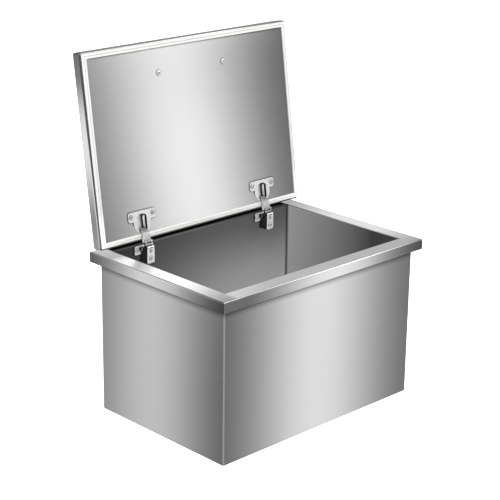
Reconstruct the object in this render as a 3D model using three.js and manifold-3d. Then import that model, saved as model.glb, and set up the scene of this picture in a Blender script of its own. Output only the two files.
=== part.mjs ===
// Drop-in ice bin: an insulated stainless tub that hangs in a counter cut-out by its rim,
// with an insulated lid on two concealed cup hinges, shown open.
// Millimetres. X is right, Y is back, Z is up. The origin is the centre of the flat base.
import * as THREE from 'three';
import { mergeVertices } from 'three/addons/utils/BufferGeometryUtils.js';
import Module from 'manifold-3d';

const wasm = await Module();
wasm.setup();

// Clearances shared by all pieces
const SEAT_GAP = 0.3;
const PIN_GAP = 0.1;
const OVERRUN = 2;

// Rim and tub
const RIM_WIDTH = 508;
const RIM_DEPTH = 356;
const RIM_TOP = 308;
const RIM_FLANGE = 30;
const RIM_SKIRT = 20;
const RIM_HEM = 8;
const RIM_SHEET = 1.5;
const RIM_BEND = 2;
const BODY_INSET = 13.5;
const SHELL_SHEET = 1;
const SHELL_BEND = 3;
const SHELL_LIP = 9;
const LINER_SHEET = 1.2;
const LINER_BEND = 4;
const LINER_LIP = 12;
const FLOOR_BEND = 8;
const FLOOR_EDGE = 36;
const FLOOR_FALL = 6;

// Drain in the tub floor
const DRAIN_BACK = 90;
const DRAIN_SEAT_RADIUS = 32;
const DRAIN_FLANGE_RADIUS = 29;
const DRAIN_FLANGE = 2;
const DRAIN_TUBE_RADIUS = 16.8;
const DRAIN_BORE_RADIUS = 12;
const DRAIN_MOUTH_RADIUS = 15;
const DRAIN_MOUTH_DEPTH = 5.4;
const DRAIN_TAIL = 6;
const WASHER_RADIUS = 25;
const WASHER_THICKNESS = 3;
const NUT_ACROSS_FLATS = 44;
const NUT_HEIGHT = 8;
const POCKET_RADIUS = 31;
const ACCESS_RADIUS = 28;
const STRAINER_THICKNESS = 1.2;
const STRAINER_HOLE_RADIUS = 1.6;
const STRAINER_RINGS = [{ count: 6, radius: 4.6 }, { count: 10, radius: 8.8 }];
const PLUG_HEIGHT = 6;
const PLUG_CAP_RADIUS = 19;
const PLUG_CAP = 2.4;
const PLUG_STEM_RADIUS = 3.5;
const PLUG_STEM = 9;
const PLUG_KNOB_RADIUS = 7;

// Lid, measured from its hinge edge (towards its front) and from its seal face (into the lid)
const LID_THICKNESS = 25;
const LID_SHEET = 1;
const LID_CORNER = 5;
const LID_OUTER_BEND = 4;
const LID_INNER_BEND = 3;
const LID_RETURN = 9.5;
const LID_CLOSED_GAP = 0.4;
const LID_OPENING = THREE.MathUtils.degToRad(98);
const SEAL_THICKNESS = 2.5;
const SEAL_INSET = 3;
const SEAL_WIDTH = 9.4;
const SEAL_OUTER_ROUND = 2.5;
const SEAL_INNER_ROUND = 1;
const SEAL_GROOVE = 1.4;
const SEAL_GROOVE_DEPTH = 0.8;
const SEAL_ROOT = 1.6;
const SEAL_ROOT_DEPTH = 4;
const PANEL_INSET = 12;
const PANEL_TURN = 6;

// Handle on the lid's outer face
const HANDLE_CENTRES = 160;
const HANDLE_FROM_FRONT = 58;
const HANDLE_RADIUS = 5;
const HANDLE_REACH = 34;
const HANDLE_BEND = 14;
const HANDLE_STEPS = 48;
const HANDLE_SCREW_RADIUS = 2;
const HANDLE_SCREW_GRIP = 12;
const HANDLE_HEAD_RADIUS = 4.6;
const HANDLE_HEAD = 1.8;
const STIFFENER_LENGTH = 200;
const STIFFENER_WIDTH = 30;
const STIFFENER_THICKNESS = 2;

// Cup of each hinge, let into the lid
const HINGE_FROM_END = 100.5;
const CUP_FROM_EDGE = 32.8;
const CUP_RADIUS = 17.5;
const CUP_WALL = 0.7;
const CUP_FLOOR = 0.8;
const CUP_DEPTH = 11.9;
const CUP_FOAM_GAP = 1;
const CUP_RING_RADIUS = 20.2;
const CUP_PLATE = 1.2;
const CUP_MOUTH_WIDTH = 22;
const EAR_SPAN = 64;
const EAR_FROM_EDGE = 37;
const EAR_FAR_EDGE = 55.5;
const EAR_ROUND = 4;
const EAR_NOTCH = 3;
const CUP_SCREW_CENTRES = 52;
const CUP_SCREW_FROM_EDGE = 47;
const CUP_SCREW_RADIUS = 2;
const CUP_SCREW_LENGTH = 9;
const CUP_HEAD_RADIUS = 3.8;
const CUP_HEAD = 1.4;
const CUP_PIN_FROM_EDGE = 19.3;
const CUP_PIN_DEPTH = 6;
const CUP_PIN_RADIUS = 1.1;
const CUP_PIN_LENGTH = 20.6;
const SPRING_SHEET = 0.8;
const SPRING_SIDE = 8.2;
const SPRING_LENGTH = 24;
const SPRING_BOW = 1.2;
const SPRING_TOP_DEPTH = 5;

// Link from the cup pin to the arm pin
const LINK_SWING = THREE.MathUtils.degToRad(48.3);
const LINK_WIDTH = 12.4;
const LINK_TONGUE_WIDTH = 10;
const LINK_DEPTH = 2.8;
const LINK_WEB = 1.2;
const LINK_CHEEK = 1.2;
const LINK_EYE = 2.2;
const LINK_RISE = 5.66;
const LINK_RISE_AT = 13.92;
const LINK_HOOK = 9.26;
const LINK_HOOK_AT = 19.69;
const LINK_STEPS = 18;
const LINK_KNUCKLE_END = 3;
const LINK_WIDE_END = 14;
const LINK_CHEEK_END = 12;
const LINK_CHEEK_PROFILE = [
  [0.5, -6], [4, -8], [9, -6], [10, -4.5],
  [11, -3.2], [12.8, -1.8], [15.5, 0.6], [17, 2.4],
];

// Arm and mounting plate on the tub's back wall
const ARM_PIN_FROM_WALL = 15.2;
const ARM_PIN_ABOVE_RIM = 8.6;
const ARM_PIN_RADIUS = 1.3;
const ARM_EYE = 2.5;
const ARM_WIDTH = 17;
const ARM_SHEET = 1.3;
const ARM_REACH = 22.6;
const ARM_DEPTH = 13.6;
const ARM_TOP_BELOW_RIM = 3.2;
const ARM_BOTTOM_BELOW_RIM = 31;
const ARM_ROUND = 3;
const NECK_WIDTH = 15.6;
const NECK_BOTTOM_BELOW_RIM = 9.5;
const NECK_BEND = 2.4;
const NECK_STEP = 5.5;
const NECK_SHOULDER_ABOVE_RIM = 0.9;
const NECK_TOP_ABOVE_RIM = 4.4;
const NECK_BACK = 8.2;
const NECK_SLOT_WIDTH = 9;
const NECK_SLOT = 1.6;
const NECK_SLOT_BELOW_RIM = 2.4;
const LUG_EYE = 2.2;
const PLATE_SHEET = 2.4;
const PLATE_SPAN = 44;
const PLATE_TOP_BELOW_RIM = 1;
const PLATE_BOTTOM_BELOW_RIM = 18;
const PLATE_ROUND = 3;
const PLATE_TAB_SHEET = 1.6;
const PLATE_TAB_REACH = 9;
const PLATE_TAB_HEIGHT = 6;
const PLATE_SCREW_CENTRES = 32;
const PLATE_SCREW_BELOW_RIM = 9;
const PLATE_SCREW_RADIUS = 2;
const PLATE_SCREW_LENGTH = 9;
const PLATE_HEAD_RADIUS = 4.2;
const PLATE_HEAD = 2.2;
const SADDLE_SHEET = 1.5;
const SADDLE_TOP_BELOW_RIM = 4;
const SADDLE_BOTTOM_BELOW_RIM = 33;
const CLAMP_SCREW_BELOW_RIM = 22.5;
const ADJUST_SCREW_BELOW_RIM = 8;
const ARM_SCREW_RADIUS = 2.4;
const ARM_SCREW_LENGTH = 9;
const ARM_HEAD_RADIUS = 4;
const ARM_HEAD = 1.8;
const ADJUST_SCREW_RADIUS = 1.8;
const ADJUST_HEAD_RADIUS = 2.9;
const NUT_BAR_LENGTH = 48;
const NUT_BAR_HEIGHT = 9;
const NUT_BAR_THICKNESS = 3;

// Facets round a full turn
const ROUND_SIDES = 40;
const PIN_SIDES = 16;
const HOLE_SIDES = 12;
const CORNER_STEPS = 4;

// Sizes that follow from the ones above
const OPENING_WIDTH = RIM_WIDTH - 2 * RIM_FLANGE;
const OPENING_DEPTH = RIM_DEPTH - 2 * RIM_FLANGE;
const BODY_WIDTH = RIM_WIDTH - 2 * BODY_INSET;
const BODY_DEPTH = RIM_DEPTH - 2 * BODY_INSET;
const BACK_WALL = OPENING_DEPTH / 2;
const HINGE_CENTRES = RIM_WIDTH - 2 * HINGE_FROM_END;
const UNDER_RIM = RIM_TOP - RIM_SHEET - SEAT_GAP;
const DRAIN_FLOOR = FLOOR_EDGE - FLOOR_FALL;
const PANEL_FACE = SEAL_THICKNESS + SEAT_GAP;
const CUP_FACE = PANEL_FACE - SEAT_GAP - CUP_PLATE;
const CUP_BOTTOM = PANEL_FACE - SEAT_GAP + CUP_DEPTH + CUP_FLOOR;
const HANDLE_FROM_EDGE = RIM_DEPTH - HANDLE_FROM_FRONT;

// The linkage: the closed lid lies on the rim, and the link and the lid swing back from there
const armPin = new THREE.Vector2(BACK_WALL - ARM_PIN_FROM_WALL, RIM_TOP + ARM_PIN_ABOVE_RIM);
const cupPinClosed = new THREE.Vector2(
  RIM_DEPTH / 2 - CUP_PIN_FROM_EDGE,
  RIM_TOP + LID_CLOSED_GAP + CUP_PIN_DEPTH,
);
const LINK_LENGTH = armPin.distanceTo(cupPinClosed);
const LINK_ANGLE = cupPinClosed.clone().sub(armPin).angle() - 2 * Math.PI + LINK_SWING;
const cupPinOpen = new THREE.Vector2(LINK_LENGTH, 0).rotateAround(new THREE.Vector2(), LINK_ANGLE).add(armPin);
const LID_TURN = Math.PI - LID_OPENING;
const lidEdge = new THREE.Vector2(-CUP_PIN_FROM_EDGE, CUP_PIN_DEPTH)
  .rotateAround(new THREE.Vector2(), LID_TURN)
  .add(cupPinOpen);

const finishes = {
  brushed: { color: 0xb4b6b8, roughness: 0.35, metalness: 1 },
  bright: { color: 0xd4d6d8, roughness: 0.2, metalness: 1 },
  seal: { color: 0xf2f2f0, roughness: 0.6, metalness: 0 },
  foam: { color: 0xe8dcb4, roughness: 0.9, metalness: 0 },
  rubber: { color: 0x2a2a2c, roughness: 0.8, metalness: 0 },
};

const root = new THREE.Group();

// Turns a closed three.js geometry into a solid with its faces pointing out
function solid(geometry) {
  const bare = new THREE.BufferGeometry();
  bare.setAttribute('position', geometry.getAttribute('position'));
  bare.setIndex(geometry.getIndex());
  const merged = mergeVertices(bare, 1e-4);
  const corners = merged.getIndex().array;
  const triVerts = [];
  for (let i = 0; i < corners.length; i += 3) {
    const [a, b, c] = [corners[i], corners[i + 1], corners[i + 2]];
    if (a !== b && b !== c && c !== a) triVerts.push(a, b, c);
  }
  const vertProperties = new Float32Array(merged.getAttribute('position').array);
  const build = (order) =>
    new wasm.Manifold(new wasm.Mesh({ numProp: 3, vertProperties, triVerts: new Uint32Array(order) }));
  const made = build(triVerts);
  return made.volume() > 0 ? made : build(triVerts.reverse());
}

const join = (first, ...others) => others.reduce((whole, piece) => whole.add(piece), first);
const cut = (first, ...others) => others.reduce((whole, piece) => whole.subtract(piece), first);

function piece(name, form, finish, parent = root) {
  const mesh = form.getMesh();
  const geometry = new THREE.BufferGeometry();
  geometry.setAttribute('position', new THREE.BufferAttribute(mesh.vertProperties, 3));
  geometry.setIndex(new THREE.BufferAttribute(mesh.triVerts, 1));
  geometry.computeVertexNormals();
  const made = new THREE.Mesh(geometry, new THREE.MeshStandardMaterial(finishes[finish]));
  made.name = name;
  parent.add(made);
  return made;
}

// A level outline of a rounded rectangle, counter-clockwise from above
function rectangle(width, depth, radius, z, x = 0, y = 0) {
  const points = [];
  for (let corner = 0; corner < 4; corner += 1) {
    const side = corner === 0 || corner === 3 ? 1 : -1;
    const end = corner < 2 ? 1 : -1;
    for (let step = 0; step <= CORNER_STEPS; step += 1) {
      const angle = ((corner + step / CORNER_STEPS) * Math.PI) / 2;
      points.push(
        new THREE.Vector3(
          x + side * (width / 2 - radius) + radius * Math.cos(angle),
          y + end * (depth / 2 - radius) + radius * Math.sin(angle),
          z,
        ),
      );
    }
  }
  return points;
}

// A closed solid through level outlines of the same number of points, lowest first
function loft(outlines) {
  const count = outlines[0].length;
  const position = outlines.flat().flatMap((point) => point.toArray());
  const index = [];
  for (let level = 0; level + 1 < outlines.length; level += 1) {
    for (let i = 0; i < count; i += 1) {
      const a = level * count + i;
      const b = level * count + ((i + 1) % count);
      index.push(a, b, b + count, a, b + count, a + count);
    }
  }
  const last = (outlines.length - 1) * count;
  for (let i = 1; i + 1 < count; i += 1) {
    index.push(0, i + 1, i, last, last + i, last + i + 1);
  }
  const geometry = new THREE.BufferGeometry();
  geometry.setAttribute('position', new THREE.Float32BufferAttribute(position, 3));
  geometry.setIndex(index);
  return solid(geometry);
}

// A picture frame with mitred corners: the section's points are [inset from the outer edge, height]
function mitredFrame(width, depth, section, y = 0) {
  const count = section.length;
  const position = [];
  for (const [side, end] of [[1, 1], [-1, 1], [-1, -1], [1, -1]]) {
    for (const [inset, height] of section) {
      position.push(side * (width / 2 - inset), y + end * (depth / 2 - inset), height);
    }
  }
  const index = [];
  for (let corner = 0; corner < 4; corner += 1) {
    for (let i = 0; i < count; i += 1) {
      const a = corner * count + i;
      const b = corner * count + ((i + 1) % count);
      const c = ((corner + 1) % 4) * count + i;
      const d = ((corner + 1) % 4) * count + ((i + 1) % count);
      index.push(a, b, d, a, d, c);
    }
  }
  const geometry = new THREE.BufferGeometry();
  geometry.setAttribute('position', new THREE.Float32BufferAttribute(position, 3));
  geometry.setIndex(index);
  return solid(geometry);
}

// Points of an arc as [along, height] pairs
function arc(centreAlong, centreHeight, radius, from, to, steps = CORNER_STEPS) {
  return Array.from({ length: steps + 1 }, (_, i) => {
    const angle = from + ((to - from) * i) / steps;
    return [centreAlong + radius * Math.cos(angle), centreHeight + radius * Math.sin(angle)];
  });
}

// A level plate between two heights
function plate(shape, low, high, sides = PIN_SIDES) {
  const geometry = new THREE.ExtrudeGeometry(shape, {
    depth: high - low,
    bevelEnabled: false,
    curveSegments: sides / 2,
  });
  return solid(geometry.translate(0, 0, low));
}

// A side outline in Y and Z, as thick along X as the width, centred on x
function sidePlate(shape, width, x = 0) {
  const geometry = new THREE.ExtrudeGeometry(shape, {
    depth: width,
    bevelEnabled: false,
    curveSegments: PIN_SIDES / 2,
  });
  const toSide = new THREE.Matrix4().makeBasis(
    new THREE.Vector3(0, 1, 0),
    new THREE.Vector3(0, 0, 1),
    new THREE.Vector3(1, 0, 0),
  );
  return solid(geometry.applyMatrix4(toSide).translate(x - width / 2, 0, 0));
}

function block(width, depth, height, x, y, z) {
  return solid(new THREE.BoxGeometry(width, depth, height).translate(x, y, z));
}

// A round bar along X, Y or Z, from one end to the other
function bar(radius, axis, from, to, sides = PIN_SIDES) {
  const geometry = new THREE.CylinderGeometry(radius, radius, from.distanceTo(to), sides);
  if (axis === 'x') geometry.rotateZ(Math.PI / 2);
  if (axis === 'z') geometry.rotateX(Math.PI / 2);
  const middle = from.clone().add(to).divideScalar(2);
  return solid(geometry.translate(middle.x, middle.y, middle.z));
}

// A turned form about the Z axis: the profile's points are [radius, height]
function turned(profile, sides = ROUND_SIDES) {
  const points = profile.map(([radius, height]) => new THREE.Vector2(radius, height));
  return solid(new THREE.LatheGeometry(points, sides).rotateX(Math.PI / 2));
}

function outline(points) {
  return new THREE.Shape(points.map(([x, y]) => new THREE.Vector2(x, y)));
}

function roundedOutline(x0, y0, x1, y1, radius) {
  return outline([
    ...arc(x1 - radius, y1 - radius, radius, 0, Math.PI / 2),
    ...arc(x0 + radius, y1 - radius, radius, Math.PI / 2, Math.PI),
    ...arc(x0 + radius, y0 + radius, radius, Math.PI, 1.5 * Math.PI),
    ...arc(x1 - radius, y0 + radius, radius, 1.5 * Math.PI, 2 * Math.PI),
  ]);
}

function hole(x, y, radius) {
  return new THREE.Path().absarc(x, y, radius, 0, 2 * Math.PI);
}

// A screw along Z with its head on top of z = 0 and its shank below
function screw(shankRadius, shankLength, headRadius, headHeight) {
  const recess = headHeight / 2;
  const body = turned(
    [
      [0, -shankLength],
      [shankRadius * 0.6, -shankLength],
      [shankRadius, -shankLength + shankRadius],
      [shankRadius, 0],
      [headRadius, 0],
      [headRadius, headHeight * 0.4],
      [headRadius * 0.8, headHeight * 0.85],
      [headRadius * 0.45, headHeight],
      [0, headHeight],
    ],
    PIN_SIDES,
  );
  const slot = headRadius * 0.3;
  const wing = headRadius * 1.1;
  const height = 2 * recess;
  return cut(body, block(wing, slot, height, 0, 0, headHeight), block(slot, wing, height, 0, 0, headHeight));
}

// Rim and tub
function rimFrame() {
  const low = RIM_TOP - RIM_SKIRT;
  const bend = (radius) => arc(RIM_BEND, RIM_TOP - RIM_BEND, radius, Math.PI, Math.PI / 2);
  return mitredFrame(RIM_WIDTH, RIM_DEPTH, [
    [RIM_HEM, low],
    [0, low],
    ...bend(RIM_BEND),
    [RIM_FLANGE, RIM_TOP],
    [RIM_FLANGE, RIM_TOP - RIM_SHEET],
    ...bend(RIM_BEND - RIM_SHEET).reverse(),
    [RIM_SHEET, low + RIM_SHEET],
    [RIM_HEM, low + RIM_SHEET],
  ]);
}

// Half of a form that is open at the top: walls, rounded floor edge and a floor that falls to the drain
function tub(grow) {
  const width = OPENING_WIDTH + 2 * grow;
  const depth = OPENING_DEPTH + 2 * grow;
  const floor = FLOOR_EDGE - grow;
  const radius = FLOOR_BEND + grow;
  const corner = LINER_BEND + grow;
  const outlines = [];
  const seat = 2 * (DRAIN_SEAT_RADIUS + grow);
  outlines.push(rectangle(seat, seat, seat / 2, DRAIN_FLOOR - grow, 0, DRAIN_BACK));
  for (let step = 0; step <= CORNER_STEPS; step += 1) {
    const angle = (step / CORNER_STEPS) * (Math.PI / 2);
    const inset = radius * (1 - Math.sin(angle));
    const round = Math.max(corner - inset, corner / 4);
    const z = floor + radius * (1 - Math.cos(angle));
    outlines.push(rectangle(width - 2 * inset, depth - 2 * inset, round, z));
  }
  outlines.push(rectangle(width, depth, corner, RIM_TOP + OVERRUN));
  return loft(outlines);
}

function innerLiner() {
  const lipWidth = OPENING_WIDTH + 2 * LINER_LIP;
  const lipDepth = OPENING_DEPTH + 2 * LINER_LIP;
  const lip = plate(
    roundedOutline(-lipWidth / 2, -lipDepth / 2, lipWidth / 2, lipDepth / 2, LINER_BEND),
    UNDER_RIM - LINER_SHEET,
    UNDER_RIM,
  );
  const above = block(RIM_WIDTH, RIM_DEPTH, RIM_SKIRT, 0, 0, UNDER_RIM + RIM_SKIRT / 2);
  const drainHole = bar(
    DRAIN_TUBE_RADIUS + SEAT_GAP,
    'z',
    new THREE.Vector3(0, DRAIN_BACK, 0),
    new THREE.Vector3(0, DRAIN_BACK, FLOOR_EDGE),
    ROUND_SIDES,
  );
  const holes = [];
  for (const centre of [-HINGE_CENTRES / 2, HINGE_CENTRES / 2]) {
    for (const side of [-1, 1]) {
      const x = centre + (side * PLATE_SCREW_CENTRES) / 2;
      const z = RIM_TOP - PLATE_SCREW_BELOW_RIM;
      const from = new THREE.Vector3(x, BACK_WALL - OVERRUN, z);
      const to = new THREE.Vector3(x, BACK_WALL + LINER_SHEET + OVERRUN, z);
      holes.push(bar(PLATE_SCREW_RADIUS + SEAT_GAP, 'y', from, to));
    }
  }
  return cut(join(tub(LINER_SHEET), lip), above, tub(0), drainHole, ...holes);
}

function outerShell() {
  const box = (inset, low, high) =>
    loft([
      rectangle(BODY_WIDTH - 2 * inset, BODY_DEPTH - 2 * inset, SHELL_BEND - inset, low),
      rectangle(BODY_WIDTH - 2 * inset, BODY_DEPTH - 2 * inset, SHELL_BEND - inset, high),
    ]);
  const lipWidth = BODY_WIDTH + 2 * SHELL_LIP;
  const lipDepth = BODY_DEPTH + 2 * SHELL_LIP;
  const lip = plate(
    roundedOutline(-lipWidth / 2, -lipDepth / 2, lipWidth / 2, lipDepth / 2, SHELL_BEND),
    UNDER_RIM - SHELL_SHEET,
    UNDER_RIM,
  );
  const access = bar(
    ACCESS_RADIUS,
    'z',
    new THREE.Vector3(0, DRAIN_BACK, -OVERRUN),
    new THREE.Vector3(0, DRAIN_BACK, SHELL_SHEET + OVERRUN),
    ROUND_SIDES,
  );
  return cut(join(box(0, 0, UNDER_RIM), lip), box(SHELL_SHEET, SHELL_SHEET, RIM_TOP), access);
}

function binFoam() {
  const inset = SHELL_SHEET + SEAT_GAP;
  const width = BODY_WIDTH - 2 * inset;
  const depth = BODY_DEPTH - 2 * inset;
  const low = SHELL_SHEET + SEAT_GAP;
  const high = UNDER_RIM - LINER_SHEET - SEAT_GAP;
  const corner = SHELL_BEND - SHELL_SHEET;
  const whole = loft([rectangle(width, depth, corner, low), rectangle(width, depth, corner, high)]);
  const pocket = bar(
    POCKET_RADIUS,
    'z',
    new THREE.Vector3(0, DRAIN_BACK, 0),
    new THREE.Vector3(0, DRAIN_BACK, FLOOR_EDGE),
    ROUND_SIDES,
  );
  const bars = [-HINGE_CENTRES / 2, HINGE_CENTRES / 2].map((x) =>
    block(
      NUT_BAR_LENGTH + 2 * SEAT_GAP,
      2 * (NUT_BAR_THICKNESS + PLATE_SCREW_LENGTH / 2),
      NUT_BAR_HEIGHT + 2 * SEAT_GAP,
      x,
      BACK_WALL + LINER_SHEET,
      RIM_TOP - PLATE_SCREW_BELOW_RIM,
    ),
  );
  return cut(whole, tub(LINER_SHEET + SEAT_GAP), pocket, ...bars);
}

piece('rim_frame', rimFrame(), 'brushed');
piece('inner_liner', innerLiner(), 'brushed');
piece('outer_shell', outerShell(), 'brushed');
piece('bin_foam', binFoam(), 'foam');

// Drain
const drain = new THREE.Group();
drain.position.set(0, DRAIN_BACK, DRAIN_FLOOR);
root.add(drain);

function drainBody() {
  const top = SEAT_GAP + DRAIN_FLANGE;
  const shoulder = top - DRAIN_MOUTH_DEPTH;
  return turned([
    [DRAIN_BORE_RADIUS, DRAIN_TAIL - DRAIN_FLOOR],
    [DRAIN_TUBE_RADIUS, DRAIN_TAIL - DRAIN_FLOOR],
    [DRAIN_TUBE_RADIUS, SEAT_GAP],
    [DRAIN_FLANGE_RADIUS, SEAT_GAP],
    [DRAIN_FLANGE_RADIUS, SEAT_GAP + DRAIN_FLANGE / 2],
    [DRAIN_FLANGE_RADIUS - DRAIN_FLANGE, top],
    [DRAIN_MOUTH_RADIUS + DRAIN_FLANGE / 2, top],
    [DRAIN_MOUTH_RADIUS, top - DRAIN_FLANGE / 2],
    [DRAIN_MOUTH_RADIUS, shoulder],
    [DRAIN_BORE_RADIUS, shoulder],
    [DRAIN_BORE_RADIUS, DRAIN_TAIL - DRAIN_FLOOR],
  ]);
}

function drainWasher() {
  const top = -LINER_SHEET - SEAT_GAP;
  const inner = DRAIN_TUBE_RADIUS + SEAT_GAP;
  return turned([
    [inner, top - WASHER_THICKNESS],
    [WASHER_RADIUS, top - WASHER_THICKNESS],
    [WASHER_RADIUS, top],
    [inner, top],
    [inner, top - WASHER_THICKNESS],
  ]);
}

function drainNut() {
  const top = -LINER_SHEET - WASHER_THICKNESS - 2 * SEAT_GAP;
  const corner = NUT_ACROSS_FLATS / Math.sqrt(3);
  const hexagon = Array.from({ length: 6 }, (_, i) => {
    const angle = (i * Math.PI) / 3;
    return [corner * Math.cos(angle), corner * Math.sin(angle)];
  });
  const shape = outline(hexagon);
  shape.holes.push(hole(0, 0, DRAIN_TUBE_RADIUS + SEAT_GAP));
  return plate(shape, top - NUT_HEIGHT, top, ROUND_SIDES);
}

function drainStrainer() {
  const seat = SEAT_GAP + DRAIN_FLANGE - DRAIN_MOUTH_DEPTH + SEAT_GAP;
  const radius = DRAIN_MOUTH_RADIUS - SEAT_GAP;
  const shape = outline(arc(0, 0, radius, 0, 2 * Math.PI, ROUND_SIDES).slice(1));
  shape.holes.push(hole(0, 0, STRAINER_HOLE_RADIUS));
  for (const { count, radius: ring } of STRAINER_RINGS) {
    for (let i = 0; i < count; i += 1) {
      const angle = (2 * Math.PI * i) / count;
      shape.holes.push(hole(ring * Math.cos(angle), ring * Math.sin(angle), STRAINER_HOLE_RADIUS));
    }
  }
  return plate(shape, seat, seat + STRAINER_THICKNESS, HOLE_SIDES);
}

function drainPlug() {
  const low = 2 * SEAT_GAP + DRAIN_FLANGE - DRAIN_MOUTH_DEPTH + STRAINER_THICKNESS + SEAT_GAP;
  const cap = SEAT_GAP + DRAIN_FLANGE + SEAT_GAP;
  const stem = cap + PLUG_CAP + PLUG_STEM;
  const wide = DRAIN_MOUTH_RADIUS - 2 * SEAT_GAP;
  return turned([
    [0, low],
    [wide - SEAT_GAP, low],
    [wide, cap],
    [PLUG_CAP_RADIUS, cap],
    [PLUG_CAP_RADIUS, cap + PLUG_CAP / 2],
    [PLUG_CAP_RADIUS - PLUG_CAP, cap + PLUG_CAP],
    [PLUG_STEM_RADIUS, cap + PLUG_CAP],
    [PLUG_STEM_RADIUS, stem],
    ...arc(0, stem + PLUG_KNOB_RADIUS / 2, PLUG_KNOB_RADIUS, -Math.PI / 6, Math.PI / 2, 6),
  ]);
}

piece('drain_body', drainBody(), 'bright', drain);
piece('drain_washer', drainWasher(), 'rubber', drain);
piece('drain_nut', drainNut(), 'bright', drain);
piece('drain_strainer', drainStrainer(), 'bright', drain);
piece('drain_plug', drainPlug(), 'rubber', drain);

// Lid: local Y runs from the hinge edge to the front, local Z points out of the seal face
const lid = new THREE.Group();
lid.position.set(0, lidEdge.x, lidEdge.y);
lid.rotation.x = LID_TURN;
root.add(lid);
const LID_MIDDLE = RIM_DEPTH / 2;

function lidOutline(inset, depth) {
  const corner = Math.max(LID_CORNER - inset, LID_SHEET / 2);
  return rectangle(RIM_WIDTH - 2 * inset, RIM_DEPTH - 2 * inset, corner, -depth, 0, LID_MIDDLE);
}

function lidOuterSkin() {
  const tray = (inset, outerBend, innerBend, shallow, deep) =>
    loft([
      ...arc(inset + outerBend, deep - outerBend, outerBend, Math.PI / 2, Math.PI),
      ...arc(inset + innerBend, shallow + innerBend, innerBend, Math.PI, 1.5 * Math.PI),
    ].map(([across, down]) => lidOutline(across, down)));
  const outer = tray(0, LID_OUTER_BEND, LID_INNER_BEND, PANEL_FACE, LID_THICKNESS);
  const inner = tray(
    LID_SHEET,
    LID_OUTER_BEND - LID_SHEET,
    LID_INNER_BEND - LID_SHEET,
    PANEL_FACE + LID_SHEET,
    LID_THICKNESS - LID_SHEET,
  );
  const mouth = loft([lidOutline(LID_RETURN, PANEL_FACE + LID_SHEET + OVERRUN), lidOutline(LID_RETURN, 0)]);
  return cut(outer, inner, mouth);
}

function lidInnerPanel() {
  const pan = (inset, shallow, deep) => loft([lidOutline(inset, deep), lidOutline(inset, shallow)]);
  const deep = PANEL_FACE + LID_SHEET + PANEL_TURN;
  const sheet = cut(
    pan(PANEL_INSET, PANEL_FACE, deep),
    pan(PANEL_INSET + LID_SHEET, PANEL_FACE + LID_SHEET, deep + OVERRUN),
  );
  return cut(sheet, ...lidHoles(PANEL_FACE - OVERRUN, PANEL_FACE + LID_SHEET + OVERRUN, SEAT_GAP));
}

// Everything that passes through the inner panel between two depths
function lidHoles(shallow, deep, cupGap) {
  const drill = (x, y, radius, sides) =>
    bar(radius, 'z', new THREE.Vector3(x, y, -deep), new THREE.Vector3(x, y, -shallow), sides);
  const drills = [];
  for (const side of [-1, 1]) {
    const centre = (side * HINGE_CENTRES) / 2;
    drills.push(drill(centre, CUP_FROM_EDGE, CUP_RADIUS + cupGap, ROUND_SIDES));
    for (const end of [-1, 1]) {
      const x = centre + (end * CUP_SCREW_CENTRES) / 2;
      drills.push(drill(x, CUP_SCREW_FROM_EDGE, CUP_SCREW_RADIUS + SEAT_GAP));
    }
    drills.push(drill((side * HANDLE_CENTRES) / 2, HANDLE_FROM_EDGE, HANDLE_SCREW_RADIUS + SEAT_GAP));
  }
  return drills;
}

function lidFoam() {
  const inner = PANEL_INSET + LID_SHEET + SEAT_GAP;
  const shallow = PANEL_FACE + LID_SHEET + SEAT_GAP;
  const under = PANEL_FACE + LID_SHEET + PANEL_TURN + SEAT_GAP;
  const deep = LID_THICKNESS - LID_SHEET - SEAT_GAP;
  const edge = LID_SHEET + SEAT_GAP;
  const core = loft([lidOutline(inner, under + SEAT_GAP), lidOutline(inner, shallow)]);
  const channel = mitredFrame(
    RIM_WIDTH,
    RIM_DEPTH,
    [
      [LID_RETURN - SEAT_GAP, -shallow + OVERRUN],
      [LID_RETURN - SEAT_GAP, -under],
      [inner, -under],
      [inner, -shallow + OVERRUN],
    ].reverse(),
    LID_MIDDLE,
  );
  const outerTurn = LID_OUTER_BEND - edge;
  const innerTurn = LID_INNER_BEND - edge;
  const wide = loft([
    ...arc(LID_OUTER_BEND, LID_THICKNESS - LID_OUTER_BEND, outerTurn, Math.PI / 2, Math.PI),
    ...arc(LID_INNER_BEND, PANEL_FACE + LID_INNER_BEND, innerTurn, Math.PI, 1.5 * Math.PI),
  ].map(([across, down]) => lidOutline(across, down)));
  const pocket = block(
    STIFFENER_LENGTH + 2 * SEAT_GAP,
    STIFFENER_WIDTH + 2 * SEAT_GAP,
    2 * (STIFFENER_THICKNESS + SEAT_GAP),
    0,
    HANDLE_FROM_EDGE,
    -deep,
  );
  const cups = lidHoles(0, CUP_BOTTOM + SEAT_GAP, CUP_FOAM_GAP);
  return cut(join(core, wide), channel, pocket, ...cups, ...handleHoles());
}

function handleHoles() {
  return [-1, 1].map((side) =>
    bar(
      HANDLE_SCREW_RADIUS + SEAT_GAP,
      'z',
      new THREE.Vector3((side * HANDLE_CENTRES) / 2, HANDLE_FROM_EDGE, -LID_THICKNESS - OVERRUN),
      new THREE.Vector3((side * HANDLE_CENTRES) / 2, HANDLE_FROM_EDGE, 0),
    ),
  );
}

function lidStiffener() {
  const deep = LID_THICKNESS - LID_SHEET - SEAT_GAP;
  const shape = roundedOutline(
    -STIFFENER_LENGTH / 2,
    HANDLE_FROM_EDGE - STIFFENER_WIDTH / 2,
    STIFFENER_LENGTH / 2,
    HANDLE_FROM_EDGE + STIFFENER_WIDTH / 2,
    STIFFENER_THICKNESS,
  );
  return cut(plate(shape, -deep, -deep + STIFFENER_THICKNESS), ...handleHoles());
}

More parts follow.
